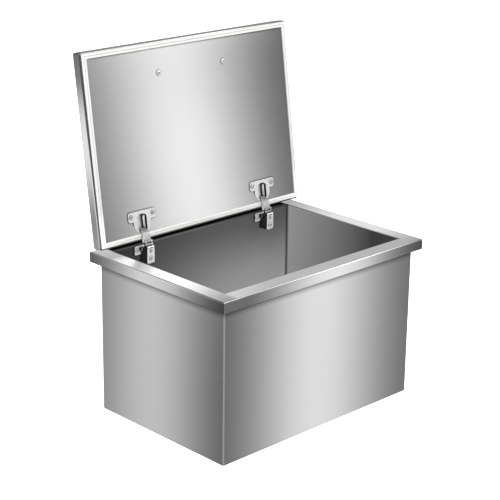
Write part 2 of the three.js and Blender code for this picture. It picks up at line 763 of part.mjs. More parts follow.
function lidGasket() {
  const seat = -SEAL_THICKNESS;
  const far = SEAL_INSET + SEAL_WIDTH;
  const middle = SEAL_INSET + SEAL_WIDTH / 2;
  const root0 = (LID_RETURN + PANEL_INSET - SEAL_ROOT) / 2;
  const root1 = root0 + SEAL_ROOT;
  const tip = seat - SEAL_ROOT_DEPTH;
  const outerAt = SEAL_INSET + SEAL_OUTER_ROUND;
  const outerRound = arc(outerAt, -SEAL_OUTER_ROUND, SEAL_OUTER_ROUND, Math.PI, Math.PI / 2);
  const innerRound = arc(far - SEAL_INNER_ROUND, -SEAL_INNER_ROUND, SEAL_INNER_ROUND, Math.PI / 2, 0);
  return mitredFrame(
    RIM_WIDTH,
    RIM_DEPTH,
    [
      ...outerRound,
      [middle - SEAL_GROOVE / 2, 0],
      [middle, -SEAL_GROOVE_DEPTH],
      [middle + SEAL_GROOVE / 2, 0],
      ...innerRound,
      [far, seat],
      [root1, seat],
      [root1, tip],
      [root0, tip],
      [root0, seat],
    ],
    LID_MIDDLE,
  );
}

// A round bar bent twice, with both ends square on the lid and drilled for the screws
function lidHandle() {
  const half = HANDLE_CENTRES / 2;
  const start = LID_THICKNESS + SEAT_GAP;
  const out = LID_THICKNESS + HANDLE_REACH;
  const low = out - HANDLE_BEND;
  const end = half - HANDLE_BEND;
  const at = (x, depth) => new THREE.Vector3(x, HANDLE_FROM_EDGE, -depth);
  const path = new THREE.CurvePath();
  path.add(new THREE.LineCurve3(at(-half, start), at(-half, low)));
  path.add(new THREE.QuadraticBezierCurve3(at(-half, low), at(-half, out), at(-end, out)));
  path.add(new THREE.LineCurve3(at(-end, out), at(end, out)));
  path.add(new THREE.QuadraticBezierCurve3(at(end, out), at(half, out), at(half, low)));
  path.add(new THREE.LineCurve3(at(half, low), at(half, start)));
  const section = outline(arc(0, 0, HANDLE_RADIUS, 0, 2 * Math.PI, PIN_SIDES).slice(1));
  const tube = new THREE.ExtrudeGeometry(section, { extrudePath: path, steps: HANDLE_STEPS });
  return cut(solid(tube), ...gripHoles());
}

function gripHoles() {
  const deep = LID_THICKNESS + HANDLE_SCREW_GRIP + SEAT_GAP;
  return [-1, 1].map((side) =>
    bar(
      HANDLE_SCREW_RADIUS + SEAT_GAP,
      'z',
      new THREE.Vector3((side * HANDLE_CENTRES) / 2, HANDLE_FROM_EDGE, -deep),
      new THREE.Vector3((side * HANDLE_CENTRES) / 2, HANDLE_FROM_EDGE, 0),
    ),
  );
}

piece('lid_outer_skin', cut(lidOuterSkin(), ...handleHoles()), 'brushed', lid);
piece('lid_inner_panel', lidInnerPanel(), 'brushed', lid);
piece('lid_foam', lidFoam(), 'foam', lid);
piece('lid_gasket', lidGasket(), 'seal', lid);
piece('lid_stiffener', lidStiffener(), 'brushed', lid);
piece('lid_handle', lidHandle(), 'bright', lid);
for (const [side, label] of [[-1, 'left'], [1, 'right']]) {
  const length = LID_THICKNESS - PANEL_FACE + HANDLE_SCREW_GRIP;
  const made = piece(
    `handle_screw_${label}`,
    screw(HANDLE_SCREW_RADIUS, length, HANDLE_HEAD_RADIUS, HANDLE_HEAD),
    'bright',
    lid,
  );
  made.position.set((side * HANDLE_CENTRES) / 2, HANDLE_FROM_EDGE, -PANEL_FACE + SEAT_GAP);
}

// Hinge cup with its ring and two fixing ears, seen in the lid's own frame
function hingeCup() {
  const bore = CUP_RADIUS - CUP_WALL;
  const floor = PANEL_FACE - SEAT_GAP + CUP_DEPTH;
  const face = -CUP_FACE;
  const back = face - CUP_PLATE;
  const cup = turned([
    [0, -floor - CUP_FLOOR],
    [CUP_RADIUS - CUP_FLOOR, -floor - CUP_FLOOR],
    [CUP_RADIUS, -floor],
    [CUP_RADIUS, back + CUP_PLATE / 2],
    [bore, back + CUP_PLATE / 2],
    [bore, -floor],
    [0, -floor],
  ]).translate(0, CUP_FROM_EDGE, 0);
  const ring = outline(arc(0, CUP_FROM_EDGE, CUP_RING_RADIUS, 0, 2 * Math.PI, ROUND_SIDES).slice(1));
  const half = EAR_SPAN / 2;
  const ears = outline([
    [half, EAR_FROM_EDGE + EAR_NOTCH],
    ...arc(half - EAR_ROUND, EAR_FAR_EDGE - EAR_ROUND, EAR_ROUND, 0, Math.PI / 2),
    ...arc(-half + EAR_ROUND, EAR_FAR_EDGE - EAR_ROUND, EAR_ROUND, Math.PI / 2, Math.PI),
    [-half, EAR_FROM_EDGE + EAR_NOTCH],
    [-half + EAR_NOTCH, EAR_FROM_EDGE],
    [half - EAR_NOTCH, EAR_FROM_EDGE],
  ]);
  const beyond = block(EAR_SPAN, CUP_RING_RADIUS, CUP_RING_RADIUS, 0, EAR_FAR_EDGE + CUP_RING_RADIUS / 2, face);
  const mouth = bar(
    bore,
    'z',
    new THREE.Vector3(0, CUP_FROM_EDGE, back - OVERRUN),
    new THREE.Vector3(0, CUP_FROM_EDGE, face + OVERRUN),
    ROUND_SIDES,
  ).intersect(block(CUP_MOUTH_WIDTH, 2 * CUP_RADIUS, 2 * CUP_RADIUS, 0, CUP_FROM_EDGE, face));
  const holes = [-1, 1].map((side) =>
    bar(
      CUP_SCREW_RADIUS + SEAT_GAP,
      'z',
      new THREE.Vector3((side * CUP_SCREW_CENTRES) / 2, CUP_SCREW_FROM_EDGE, back - OVERRUN),
      new THREE.Vector3((side * CUP_SCREW_CENTRES) / 2, CUP_SCREW_FROM_EDGE, face + OVERRUN),
    ),
  );
  const pinHole = bar(
    CUP_PIN_RADIUS + PIN_GAP,
    'x',
    new THREE.Vector3(-CUP_RADIUS, CUP_PIN_FROM_EDGE, -CUP_PIN_DEPTH),
    new THREE.Vector3(CUP_RADIUS, CUP_PIN_FROM_EDGE, -CUP_PIN_DEPTH),
  );
  const top = cut(join(plate(ring, back, face), plate(ears, back, face)), beyond);
  return cut(join(cup, top), mouth, pinHole, ...holes);
}

// Leaf that stands on edge beside the link, bowed along its length
function cupSpring() {
  const half = SPRING_LENGTH / 2;
  const steps = 2 * CORNER_STEPS;
  const line = (offset) =>
    Array.from({ length: steps + 1 }, (_, i) => {
      const share = (2 * i) / steps - 1;
      const bow = SPRING_BOW * (share * share - 1);
      return [SPRING_SIDE + offset + bow + SPRING_BOW, CUP_FROM_EDGE + share * half];
    });
  const shape = outline([...line(SPRING_SHEET), ...line(0).reverse()]);
  return plate(shape, -(PANEL_FACE - SEAT_GAP + CUP_DEPTH - SEAT_GAP), -SPRING_TOP_DEPTH);
}

// The link's centre line in its own frame: along Y from the arm pin to the cup pin, bowed upward
const linkLine = new THREE.CubicBezierCurve(
  new THREE.Vector2(0, 0),
  new THREE.Vector2(LINK_RISE_AT, LINK_RISE),
  new THREE.Vector2(LINK_HOOK_AT, LINK_HOOK),
  new THREE.Vector2(LINK_LENGTH, 0),
);

// A band beside the centre line, from one offset to another and one step to another
function linkBand(low, high, first, last) {
  const side = (offset) =>
    Array.from({ length: last - first + 1 }, (_, i) => {
      const t = (first + i) / LINK_STEPS;
      const point = linkLine.getPoint(t);
      const ahead = linkLine.getTangent(t);
      return [point.x - offset * ahead.y, point.y + offset * ahead.x];
    });
  return outline([...side(low), ...side(high).reverse()]);
}

function hingeLink() {
  const half = LINK_DEPTH / 2;
  const eye = (radius, at, width) => {
    const round = outline(arc(at, 0, radius, 0, 2 * Math.PI, PIN_SIDES).slice(1));
    return sidePlate(round, width);
  };
  const band = sidePlate(linkBand(-half, half, 0, LINK_WIDE_END), LINK_WIDTH);
  const tongue = sidePlate(linkBand(-half, half, LINK_WIDE_END, LINK_STEPS), LINK_TONGUE_WIDTH);
  const hollow = linkBand(-half - OVERRUN, half - LINK_WEB, LINK_KNUCKLE_END + 1, LINK_WIDE_END - 1);
  const channel = sidePlate(hollow, LINK_WIDTH - 2 * LINK_CHEEK);
  const steps = Array.from({ length: LINK_CHEEK_END + 1 }, (_, i) => i / LINK_STEPS);
  const spine = steps.map((share) => linkLine.getPoint(share).toArray());
  const cheekShape = outline([...LINK_CHEEK_PROFILE, ...spine.reverse()]);
  const cheekAt = (LINK_WIDTH - LINK_CHEEK) / 2;
  const cheeks = [-1, 1].map((side) => sidePlate(cheekShape, LINK_CHEEK, side * cheekAt));
  const body = join(
    cut(band, channel),
    ...cheeks,
    tongue,
    eye(ARM_EYE, 0, LINK_WIDTH),
    eye(LINK_EYE, LINK_LENGTH, LINK_TONGUE_WIDTH),
  );
  return cut(
    body,
    eye(ARM_PIN_RADIUS + PIN_GAP, 0, LINK_WIDTH + OVERRUN),
    eye(CUP_PIN_RADIUS + PIN_GAP, LINK_LENGTH, LINK_WIDTH),
  );
}

// Arm: a folded channel open towards the wall, with a narrower neck that steps back above the rim
// and holds the pin between its two cheeks
function hingeArm() {
  const front = BACK_WALL - ARM_REACH;
  const back = front + ARM_DEPTH;
  const top = RIM_TOP - ARM_TOP_BELOW_RIM;
  const bottom = RIM_TOP - ARM_BOTTOM_BELOW_RIM;
  const channelSide = outline([
    [front, bottom],
    [back, bottom],
    [back, top - ARM_ROUND],
    ...arc(back - ARM_ROUND, top - ARM_ROUND, ARM_ROUND, 0, Math.PI / 2),
    ...arc(front + ARM_ROUND, top - ARM_ROUND, ARM_ROUND, Math.PI / 2, Math.PI),
  ]);
  const inside = (first, low) =>
    outline([
      [first, low],
      [back + OVERRUN, low],
      [back + OVERRUN, top + OVERRUN],
      [first, top + OVERRUN],
    ]);
  const behindFront = sidePlate(inside(front + ARM_SHEET, bottom - OVERRUN), ARM_WIDTH - 2 * ARM_SHEET);
  const channel = cut(sidePlate(channelSide, ARM_WIDTH), behindFront);
  const neckBottom = RIM_TOP - NECK_BOTTOM_BELOW_RIM;
  const ledge = RIM_TOP + NECK_SHOULDER_ABOVE_RIM;
  const neckFront = (inset) => [
    [front + inset, neckBottom],
    ...arc(front + NECK_BEND, ledge - NECK_BEND, NECK_BEND - inset, Math.PI, Math.PI / 2),
    [front + inset + NECK_STEP, ledge - inset],
    [front + inset + NECK_STEP, RIM_TOP + NECK_TOP_ABOVE_RIM],
  ];
  const cheekShape = outline([
    ...neckFront(0),
    ...arc(armPin.x, armPin.y, LUG_EYE, Math.PI, 0, PIN_SIDES / 2),
    [armPin.x + LUG_EYE, ledge],
    [armPin.x + NECK_BACK - LUG_EYE, top],
    [armPin.x + NECK_BACK - LUG_EYE, neckBottom],
  ]);
  const cheekAt = (NECK_WIDTH - ARM_SHEET) / 2;
  const cheeks = [-1, 1].map((side) => sidePlate(cheekShape, ARM_SHEET, side * cheekAt));
  const neck = sidePlate(outline([...neckFront(0), ...neckFront(ARM_SHEET).reverse()]), NECK_WIDTH);
  const pinHole = bar(
    ARM_PIN_RADIUS + PIN_GAP,
    'x',
    new THREE.Vector3(-ARM_WIDTH, armPin.x, armPin.y),
    new THREE.Vector3(ARM_WIDTH, armPin.x, armPin.y),
  );
  const slot = block(NECK_SLOT_WIDTH, 2 * OVERRUN, NECK_SLOT, 0, front, RIM_TOP - NECK_SLOT_BELOW_RIM);
  return cut(join(channel, neck, ...cheeks), pinHole, slot, ...armScrewHoles(front, ARM_SHEET));
}

// Holes for the two screws of the arm through a sheet that starts at a given front
function armScrewHoles(front, sheet) {
  return [
    [CLAMP_SCREW_BELOW_RIM, ARM_SCREW_RADIUS],
    [ADJUST_SCREW_BELOW_RIM, ADJUST_SCREW_RADIUS],
  ].map(([below, radius]) =>
    bar(
      radius + SEAT_GAP,
      'y',
      new THREE.Vector3(0, front - OVERRUN, RIM_TOP - below),
      new THREE.Vector3(0, front + sheet + OVERRUN, RIM_TOP - below),
    ),
  );
}

// Mounting plate: a winged plate on the wall with a folded saddle that the arm sits over
function mountingPlate() {
  const half = PLATE_SPAN / 2;
  const wallFace = BACK_WALL - SEAT_GAP;
  const shape = roundedOutline(
    -half,
    RIM_TOP - PLATE_BOTTOM_BELOW_RIM,
    half,
    RIM_TOP - PLATE_TOP_BELOW_RIM,
    PLATE_ROUND,
  );
  for (const side of [-1, 1]) {
    const across = (side * PLATE_SCREW_CENTRES) / 2;
    shape.holes.push(hole(across, RIM_TOP - PLATE_SCREW_BELOW_RIM, PLATE_SCREW_RADIUS + SEAT_GAP));
  }
  const wings = plate(shape, 0, PLATE_SHEET).rotate([90, 0, 0]).translate(0, wallFace, 0);
  const front = BACK_WALL - ARM_REACH + ARM_SHEET + SEAT_GAP;
  const width = NECK_WIDTH - 2 * ARM_SHEET - 2 * SEAT_GAP;
  const low = RIM_TOP - SADDLE_BOTTOM_BELOW_RIM;
  const high = RIM_TOP - SADDLE_TOP_BELOW_RIM;
  const depth = wallFace - front;
  const saddle = block(width, depth, high - low, 0, front + depth / 2, (low + high) / 2);
  const inside = block(
    width - 2 * SADDLE_SHEET,
    depth,
    high - low + 2 * OVERRUN,
    0,
    front + depth / 2 + SADDLE_SHEET,
    (low + high) / 2,
  );
  const tabTop = RIM_TOP - PLATE_TOP_BELOW_RIM - PLATE_ROUND;
  const tabAt = (ARM_WIDTH + PLATE_TAB_SHEET) / 2 + 2 * SEAT_GAP;
  const tabs = [-1, 1].map((side) =>
    block(
      PLATE_TAB_SHEET,
      PLATE_TAB_REACH,
      PLATE_TAB_HEIGHT,
      side * tabAt,
      wallFace - PLATE_TAB_REACH / 2,
      tabTop - PLATE_TAB_HEIGHT / 2,
    ),
  );
  return cut(join(cut(saddle, inside), wings, ...tabs), ...armScrewHoles(front, SADDLE_SHEET));
}

function nutBar() {
  const y = BACK_WALL + LINER_SHEET + SEAT_GAP + NUT_BAR_THICKNESS;
  const shape = roundedOutline(
    -NUT_BAR_LENGTH / 2,
    -NUT_BAR_HEIGHT / 2,
    NUT_BAR_LENGTH / 2,
    NUT_BAR_HEIGHT / 2,
    NUT_BAR_THICKNESS / 2,
  );
  for (const side of [-1, 1]) {
    shape.holes.push(hole((side * PLATE_SCREW_CENTRES) / 2, 0, PLATE_SCREW_RADIUS + SEAT_GAP));
  }
  const upright = plate(shape, 0, NUT_BAR_THICKNESS).rotate([90, 0, 0]);
  return upright.translate(0, y, RIM_TOP - PLATE_SCREW_BELOW_RIM);
}

// One hinge on each side: what is fixed to the tub, what swings and what the lid carries
for (const [side, label] of [[-1, 'left'], [1, 'right']]) {
  const x = (side * HINGE_CENTRES) / 2;
  const fixed = new THREE.Group();
  fixed.position.x = x;
  root.add(fixed);
  piece(`${label}_hinge_arm`, hingeArm(), 'bright', fixed);
  piece(`${label}_mounting_plate`, mountingPlate(), 'bright', fixed);
  piece(`${label}_nut_bar`, nutBar(), 'brushed', fixed);
  const armPinBar = bar(
    ARM_PIN_RADIUS,
    'x',
    new THREE.Vector3(-NECK_WIDTH / 2, armPin.x, armPin.y),
    new THREE.Vector3(NECK_WIDTH / 2, armPin.x, armPin.y),
  );
  piece(`${label}_arm_pin`, armPinBar, 'bright', fixed);
  const armFront = BACK_WALL - ARM_REACH - SEAT_GAP;
  const armScrews = [
    ['clamp_screw', CLAMP_SCREW_BELOW_RIM, ARM_SCREW_RADIUS, ARM_HEAD_RADIUS],
    ['adjusting_screw', ADJUST_SCREW_BELOW_RIM, ADJUST_SCREW_RADIUS, ADJUST_HEAD_RADIUS],
  ];
  for (const [name, below, radius, head] of armScrews) {
    const form = screw(radius, ARM_SCREW_LENGTH, head, ARM_HEAD);
    const made = piece(`${label}_${name}`, form, 'bright', fixed);
    made.rotation.x = Math.PI / 2;
    made.position.set(0, armFront, RIM_TOP - below);
  }
  for (const [end, name] of [[-1, 'outer'], [1, 'inner']]) {
    const plateScrew = piece(
      `${label}_plate_screw_${name}`,
      screw(PLATE_SCREW_RADIUS, PLATE_SCREW_LENGTH, PLATE_HEAD_RADIUS, PLATE_HEAD),
      'bright',
      fixed,
    );
    plateScrew.rotation.x = Math.PI / 2;
    plateScrew.position.set(
      (side * -end * PLATE_SCREW_CENTRES) / 2,
      BACK_WALL - PLATE_SHEET - 2 * SEAT_GAP,
      RIM_TOP - PLATE_SCREW_BELOW_RIM,
    );
  }

  const link = piece(`${label}_hinge_link`, hingeLink(), 'bright');
  link.position.set(x, armPin.x, armPin.y);
  link.rotation.x = LINK_ANGLE;

  const carried = new THREE.Group();
  carried.position.x = x;
  lid.add(carried);
  piece(`${label}_hinge_cup`, hingeCup(), 'bright', carried);
  piece(`${label}_cup_spring`, cupSpring(), 'bright', carried);
  const cupPinBar = bar(
    CUP_PIN_RADIUS,
    'x',
    new THREE.Vector3(-CUP_PIN_LENGTH / 2, CUP_PIN_FROM_EDGE, -CUP_PIN_DEPTH),
    new THREE.Vector3(CUP_PIN_LENGTH / 2, CUP_PIN_FROM_EDGE, -CUP_PIN_DEPTH),
  );
  piece(`${label}_cup_pin`, cupPinBar, 'bright', carried);
  for (const [end, name] of [[-1, 'outer'], [1, 'inner']]) {
    const cupScrew = piece(
      `${label}_cup_screw_${name}`,
      screw(CUP_SCREW_RADIUS, CUP_SCREW_LENGTH, CUP_HEAD_RADIUS, CUP_HEAD),
      'bright',
      carried,
    );
    cupScrew.position.set((side * -end * CUP_SCREW_CENTRES) / 2, CUP_SCREW_FROM_EDGE, -CUP_FACE + SEAT_GAP);
  }
}

export default root;
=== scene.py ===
import math

import bpy
from mathutils import Matrix, Vector

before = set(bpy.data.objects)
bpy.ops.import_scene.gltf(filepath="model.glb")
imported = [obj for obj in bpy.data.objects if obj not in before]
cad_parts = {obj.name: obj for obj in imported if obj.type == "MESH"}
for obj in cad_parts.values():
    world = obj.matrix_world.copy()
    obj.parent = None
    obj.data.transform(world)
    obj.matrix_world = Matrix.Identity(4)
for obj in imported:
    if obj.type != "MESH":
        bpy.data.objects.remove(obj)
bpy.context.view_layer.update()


def reach_of(name, direction):
    """The lowest and highest place of one solid along a direction, in metres."""
    places = [Vector(direction).dot(corner.co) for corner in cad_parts[name].data.vertices]
    return min(places), max(places)


# Directions on the open lid: up along it, and out of the face with the seal
LID_LEAN = math.radians(8)
LID_UP = Vector((0, math.sin(LID_LEAN), math.cos(LID_LEAN)))
LID_FACE = Vector((0, -math.cos(LID_LEAN), math.sin(LID_LEAN)))

# Places that the looks need, in metres, read from the solids
RIM_LEFT, RIM_RIGHT = reach_of("rim_frame", (1, 0, 0))
RIM_FRONT, RIM_BACK = reach_of("rim_frame", (0, 1, 0))
UNDER_SKIRT, RIM_TOP = reach_of("rim_frame", (0, 0, 1))
RIM_WIDTH = RIM_RIGHT - RIM_LEFT
RIM_STRIP = 0.030
BACK_STRIP = RIM_BACK - RIM_STRIP
LID_TOP = reach_of("lid_outer_skin", LID_UP)[1]
SPRING_BACK, SPRING_FRONT = reach_of("left_cup_spring", LID_FACE)
SPRING_DEPTH = SPRING_FRONT - SPRING_BACK

# Camera: its angles, place and lens, fitted to the bin's edges in the photograph
AZIMUTH = math.radians(-44.2395)
ELEVATION = math.radians(18.6389)
ROLL = math.radians(0.7705)
DISTANCE = 5.7079 * RIM_WIDTH
SIDESTEP = -0.0246 * RIM_WIDTH
LIFT = 0.5563 * RIM_WIDTH
FOCAL_LENGTH_MM = 109.67
SENSOR_MM = 36
NEAREST, FARTHEST = 0.05, 60


def add_camera():
    """A camera that sees the bin from where the photograph does."""
    back = Vector((
        math.sin(AZIMUTH) * math.cos(ELEVATION),
        -math.cos(AZIMUTH) * math.cos(ELEVATION),
        math.sin(ELEVATION),
    ))
    level = Vector((math.cos(AZIMUTH), math.sin(AZIMUTH), 0))
    upright = back.cross(level)
    right = level * math.cos(ROLL) + upright * math.sin(ROLL)
    up = upright * math.cos(ROLL) - level * math.sin(ROLL)
    lens = bpy.data.cameras.new("photo_camera")
    lens.lens = FOCAL_LENGTH_MM
    lens.sensor_width = SENSOR_MM
    lens.clip_start = NEAREST
    lens.clip_end = FARTHEST
    camera = bpy.data.objects.new("photo_camera", lens)
    bpy.context.collection.objects.link(camera)
    turn = Matrix((right, up, back)).transposed().to_4x4()
    camera.matrix_world = Matrix.Translation(SIDESTEP * right + LIFT * up + DISTANCE * back) @ turn
    bpy.context.scene.camera = camera


add_camera()
bpy.context.scene.view_settings.view_transform = "Standard"


def linear(code):
    """The linear colour of an sRGB hex code."""
    parts = [int(code[i:i + 2], 16) / 255 for i in (0, 2, 4)]
    return [p / 12.92 if p <= 0.04045 else ((p + 0.055) / 1.055) ** 2.4 for p in parts] + [1]


def new_material(name):
    """An empty material and its node tree."""
    made = bpy.data.materials.new(name)
    made.use_nodes = True
    made.node_tree.nodes.clear()
    return made, made.node_tree


def add(tree, kind, settings=None, **links):
    """Adds one node, sets its values and connects its sockets.

    A name that starts with in_ is an input, by its number or name, and a link's underscores
    stand for spaces. A node given as a link stands for its first output in use.
    """
    node = tree.nodes.new(kind)
    for name, value in (settings or {}).items():
        if name.startswith("in_"):
            key = name[3:]
            node.inputs[int(key) if key.isdigit() else key].default_value = value
        else:
            setattr(node, name, value)
    for name, source in links.items():
        key = name.replace("_", " ")
        key = int(key[3:]) if key.startswith("in ") else key
        if isinstance(source, bpy.types.Node):
            source = next(socket for socket in source.outputs if socket.enabled)
        tree.links.new(source, node.inputs[key])
    return node


# Settings of the nodes that combine shares and directions, and the two curves of a share
PRODUCT = {"operation": "MULTIPLY"}
LARGER = {"operation": "MAXIMUM"}
SMALLER = {"operation": "MINIMUM"}
UNSIGNED = {"operation": "ABSOLUTE"}
CROSSED = {"operation": "CROSS_PRODUCT"}
ALONG_LID_FACE = {"operation": "DOT_PRODUCT", "in_1": tuple(LID_FACE)}
ALONG_LID_UP = {"operation": "DOT_PRODUCT", "in_1": tuple(LID_UP)}
SOFT = "SMOOTHSTEP"
STRAIGHT = "LINEAR"


def share_over(tree, place, stops, curve=SOFT, of=None):
    """A share of light that turns from one stop of (place, share) to the next.

    It is taken of an earlier share, where one is given.
    """
    before = 1
    for (low, low_share), (high, high_share) in zip(stops, stops[1:]):
        if low_share == high_share:
            continue
        turn = add(tree, "ShaderNodeMapRange", {
            "interpolation_type": curve, "in_From Min": low, "in_From Max": high,
            "in_To Min": low_share / before, "in_To Max": high_share / before,
        }, Value=place)
        of = turn if of is None else add(tree, "ShaderNodeMath", PRODUCT, in_0=of, in_1=turn)
        before = high_share
    return of


def in_crevices(tree, reach_mm, depth, of=None):
    """The share of light left in gaps and under edges, taken of an earlier share."""
    near = add(tree, "ShaderNodeAmbientOcclusion", {"samples": 8, "in_Distance": reach_mm / 1000})
    left = add(tree, "ShaderNodeMath", {"operation": "POWER", "in_1": depth}, in_0=near.outputs["AO"])
    return left if of is None else add(tree, "ShaderNodeMath", PRODUCT, in_0=of, in_1=left)


# Shade tables: each stop is (place, share of light), with places in metres on the bin.
# A table named for how a face looks has the face normal's part along an axis as its place.
WALL_UNDER_SKIRT = ((UNDER_SKIRT - 0.020, 1), (UNDER_SKIRT - 0.006, 0.48))
WALL_SKIRT_LINE = ((UNDER_SKIRT - 0.010, 1), (UNDER_SKIRT - 0.007, 0.6))


def shaded_wall(tree, where):
    """The outer walls are shaded right under the rim's skirt, darkest in a line at its edge."""
    place = add(tree, "ShaderNodeSeparateXYZ", Vector=where.outputs["Object"])
    soft = share_over(tree, place.outputs["Z"], WALL_UNDER_SKIRT)
    return share_over(tree, place.outputs["Z"], WALL_SKIRT_LINE, of=soft)


TUB_LOOKS_ASIDE = ((0.6, 0), (0.8, 1))
TUB_LOOKS_BETWEEN = ((0.1, 1), (0.3, 0.25))
TUB_BACK_ACROSS = ((-0.2, 0.34), (0.22, 1.2))
TUB_LOW_ACROSS = ((-0.2, 0.52), (0.15, 1))
TUB_LOW_TO_HIGH = ((0.20, 0), (0.30, 1))
TUB_UNDER_RIM = ((0.15, 0.5), (RIM_TOP, 0.13))
TUB_END_TO_BACK = ((-0.08, 0.07), (0.145, 0.52))


def shaded_tub(tree, where):
    """The tub has painted shade: dim under the rim and lid, and dark in its upright bends.

    Its back wall's painted shade lightens to the right, and its end walls' painted shade lightens towards the
    back corners.
    """
    place = add(tree, "ShaderNodeSeparateXYZ", Vector=where.outputs["Object"])
    facing = add(tree, "ShaderNodeSeparateXYZ", Vector=where.outputs["Normal"])
    height = share_over(tree, place.outputs["Z"], TUB_LOW_TO_HIGH)
    low = share_over(tree, place.outputs["X"], TUB_LOW_ACROSS, STRAIGHT)
    back_wall = add(tree, "ShaderNodeMix", {"in_3": 1}, in_0=height, in_2=low)
    back_wall = share_over(tree, place.outputs["X"], TUB_BACK_ACROSS, STRAIGHT, of=back_wall)
    back_wall = share_over(tree, place.outputs["Z"], TUB_UNDER_RIM, of=back_wall)
    end_wall = share_over(tree, place.outputs["Y"], TUB_END_TO_BACK, STRAIGHT)
    aside = add(tree, "ShaderNodeMath", UNSIGNED, in_0=facing.outputs["X"])
    at_end = share_over(tree, aside, TUB_LOOKS_ASIDE)
    walls = add(tree, "ShaderNodeMix", in_0=at_end, in_2=back_wall, in_3=end_wall)
    between = add(tree, "ShaderNodeMath", PRODUCT, in_0=facing.outputs["X"], in_1=facing.outputs["Y"])
    between = add(tree, "ShaderNodeMath", UNSIGNED, in_0=between)
    walls = share_over(tree, between, TUB_LOOKS_BETWEEN, of=walls)
    return in_crevices(tree, reach_mm=4, depth=2, of=walls)


RIM_INNER_EDGE = ((BACK_STRIP - 0.006, 1), (BACK_STRIP - 0.002, 0.28))
RIM_UNDER_LID = ((BACK_STRIP, 1), (BACK_STRIP + 0.012, 0))
RIM_BESIDE_LID = ((RIM_RIGHT - 0.034, 0), (RIM_RIGHT - 0.028, 1))
RIM_BEHIND_LID = ((RIM_BACK - 0.009, 0), (RIM_BACK - 0.002, 1))
RIM_ON_LEFT = ((RIM_LEFT + 0.026, 1), (RIM_LEFT + 0.034, 0))
RIM_ON_RIGHT = ((RIM_RIGHT - 0.034, 0), (RIM_RIGHT - 0.026, 1))
RIM_LEFT_STRIP = ((RIM_FRONT, 0.62), (-0.06, 1.1), (0, 1.1), (0.17, 1.5))
RIM_RIGHT_STRIP = ((RIM_FRONT, 0.85), (-0.08, 1.9), (0.02, 1.9), (0.15, 0.95))
RIM_NEAR_CORNER = ((RIM_LEFT, 1.6), (-0.2, 1))
RIM_FRONT_SKIRT = ((-0.19, 0.68), (0.03, 1.14), (0.10, 1.14), (RIM_RIGHT, 0.5))
RIM_LEFT_SKIRT = ((-0.185, 0.3), (-0.05, 1.22), (0.04, 1.22), (RIM_BACK, 0.43))
RIM_LOOKS_UP_AT_FOLD = ((0.1, 1), (0.3, 0.6), (0.85, 0.6), (0.98, 1))
RIM_LOOKS_OUT = ((-0.8, 1), (-0.6, 0))


def shaded_rim(tree, where):
    """Each strip and skirt dims towards its ends, and the back strip lies in the dark under the lid."""
    place = add(tree, "ShaderNodeSeparateXYZ", Vector=where.outputs["Object"])
    facing = add(tree, "ShaderNodeSeparateXYZ", Vector=where.outputs["Normal"])
    across, along = place.outputs["X"], place.outputs["Y"]
    aside = add(tree, "ShaderNodeMath", UNSIGNED, in_0=across)
    beside = share_over(tree, aside, RIM_BESIDE_LID)
    behind = share_over(tree, along, RIM_BEHIND_LID)
    in_the_open = add(tree, "ShaderNodeMath", LARGER, in_0=beside, in_1=behind)
    inner_edge = share_over(tree, along, RIM_INNER_EDGE)
    under_lid = share_over(tree, along, RIM_UNDER_LID, of=inner_edge)
    gap = add(tree, "ShaderNodeMath", LARGER, in_0=under_lid, in_1=in_the_open)
    on_left = share_over(tree, across, RIM_ON_LEFT)
    on_right = share_over(tree, across, RIM_ON_RIGHT)
    left_strip = share_over(tree, along, RIM_LEFT_STRIP, STRAIGHT)
    right_strip = share_over(tree, along, RIM_RIGHT_STRIP, STRAIGHT)
    top = add(tree, "ShaderNodeMix", {"in_2": 1}, in_0=on_right, in_3=right_strip)
    top = add(tree, "ShaderNodeMix", in_0=on_left, in_2=top, in_3=left_strip)
    top = share_over(tree, facing.outputs["Z"], RIM_LOOKS_UP_AT_FOLD, STRAIGHT, of=top)
    near_corner = share_over(tree, across, RIM_NEAR_CORNER, STRAIGHT)
    front_skirt = share_over(tree, across, RIM_FRONT_SKIRT, STRAIGHT, of=near_corner)
    left_skirt = share_over(tree, along, RIM_LEFT_SKIRT, STRAIGHT)
    forward = share_over(tree, facing.outputs["Y"], RIM_LOOKS_OUT)
    leftward = share_over(tree, facing.outputs["X"], RIM_LOOKS_OUT)
    shade = add(tree, "ShaderNodeMix", in_0=forward, in_2=top, in_3=front_skirt)
    shade = add(tree, "ShaderNodeMix", in_0=leftward, in_2=shade, in_3=left_skirt)
    shade = add(tree, "ShaderNodeMath", PRODUCT, in_0=shade, in_1=gap)
    return in_crevices(tree, reach_mm=4, depth=1.5, of=shade)


PANEL_TOWARDS_TOP = ((0.45, 1), (0.65, 0.89))
PANEL_INSIDE_SEAL = ((RIM_RIGHT - 0.022, 1), (RIM_RIGHT - 0.016, 0))
PANEL_ABOVE_SEAL = ((0.342, 0), (0.349, 1))
PANEL_LOOKS_BACK = ((-0.9, 1), (-0.5, 0))


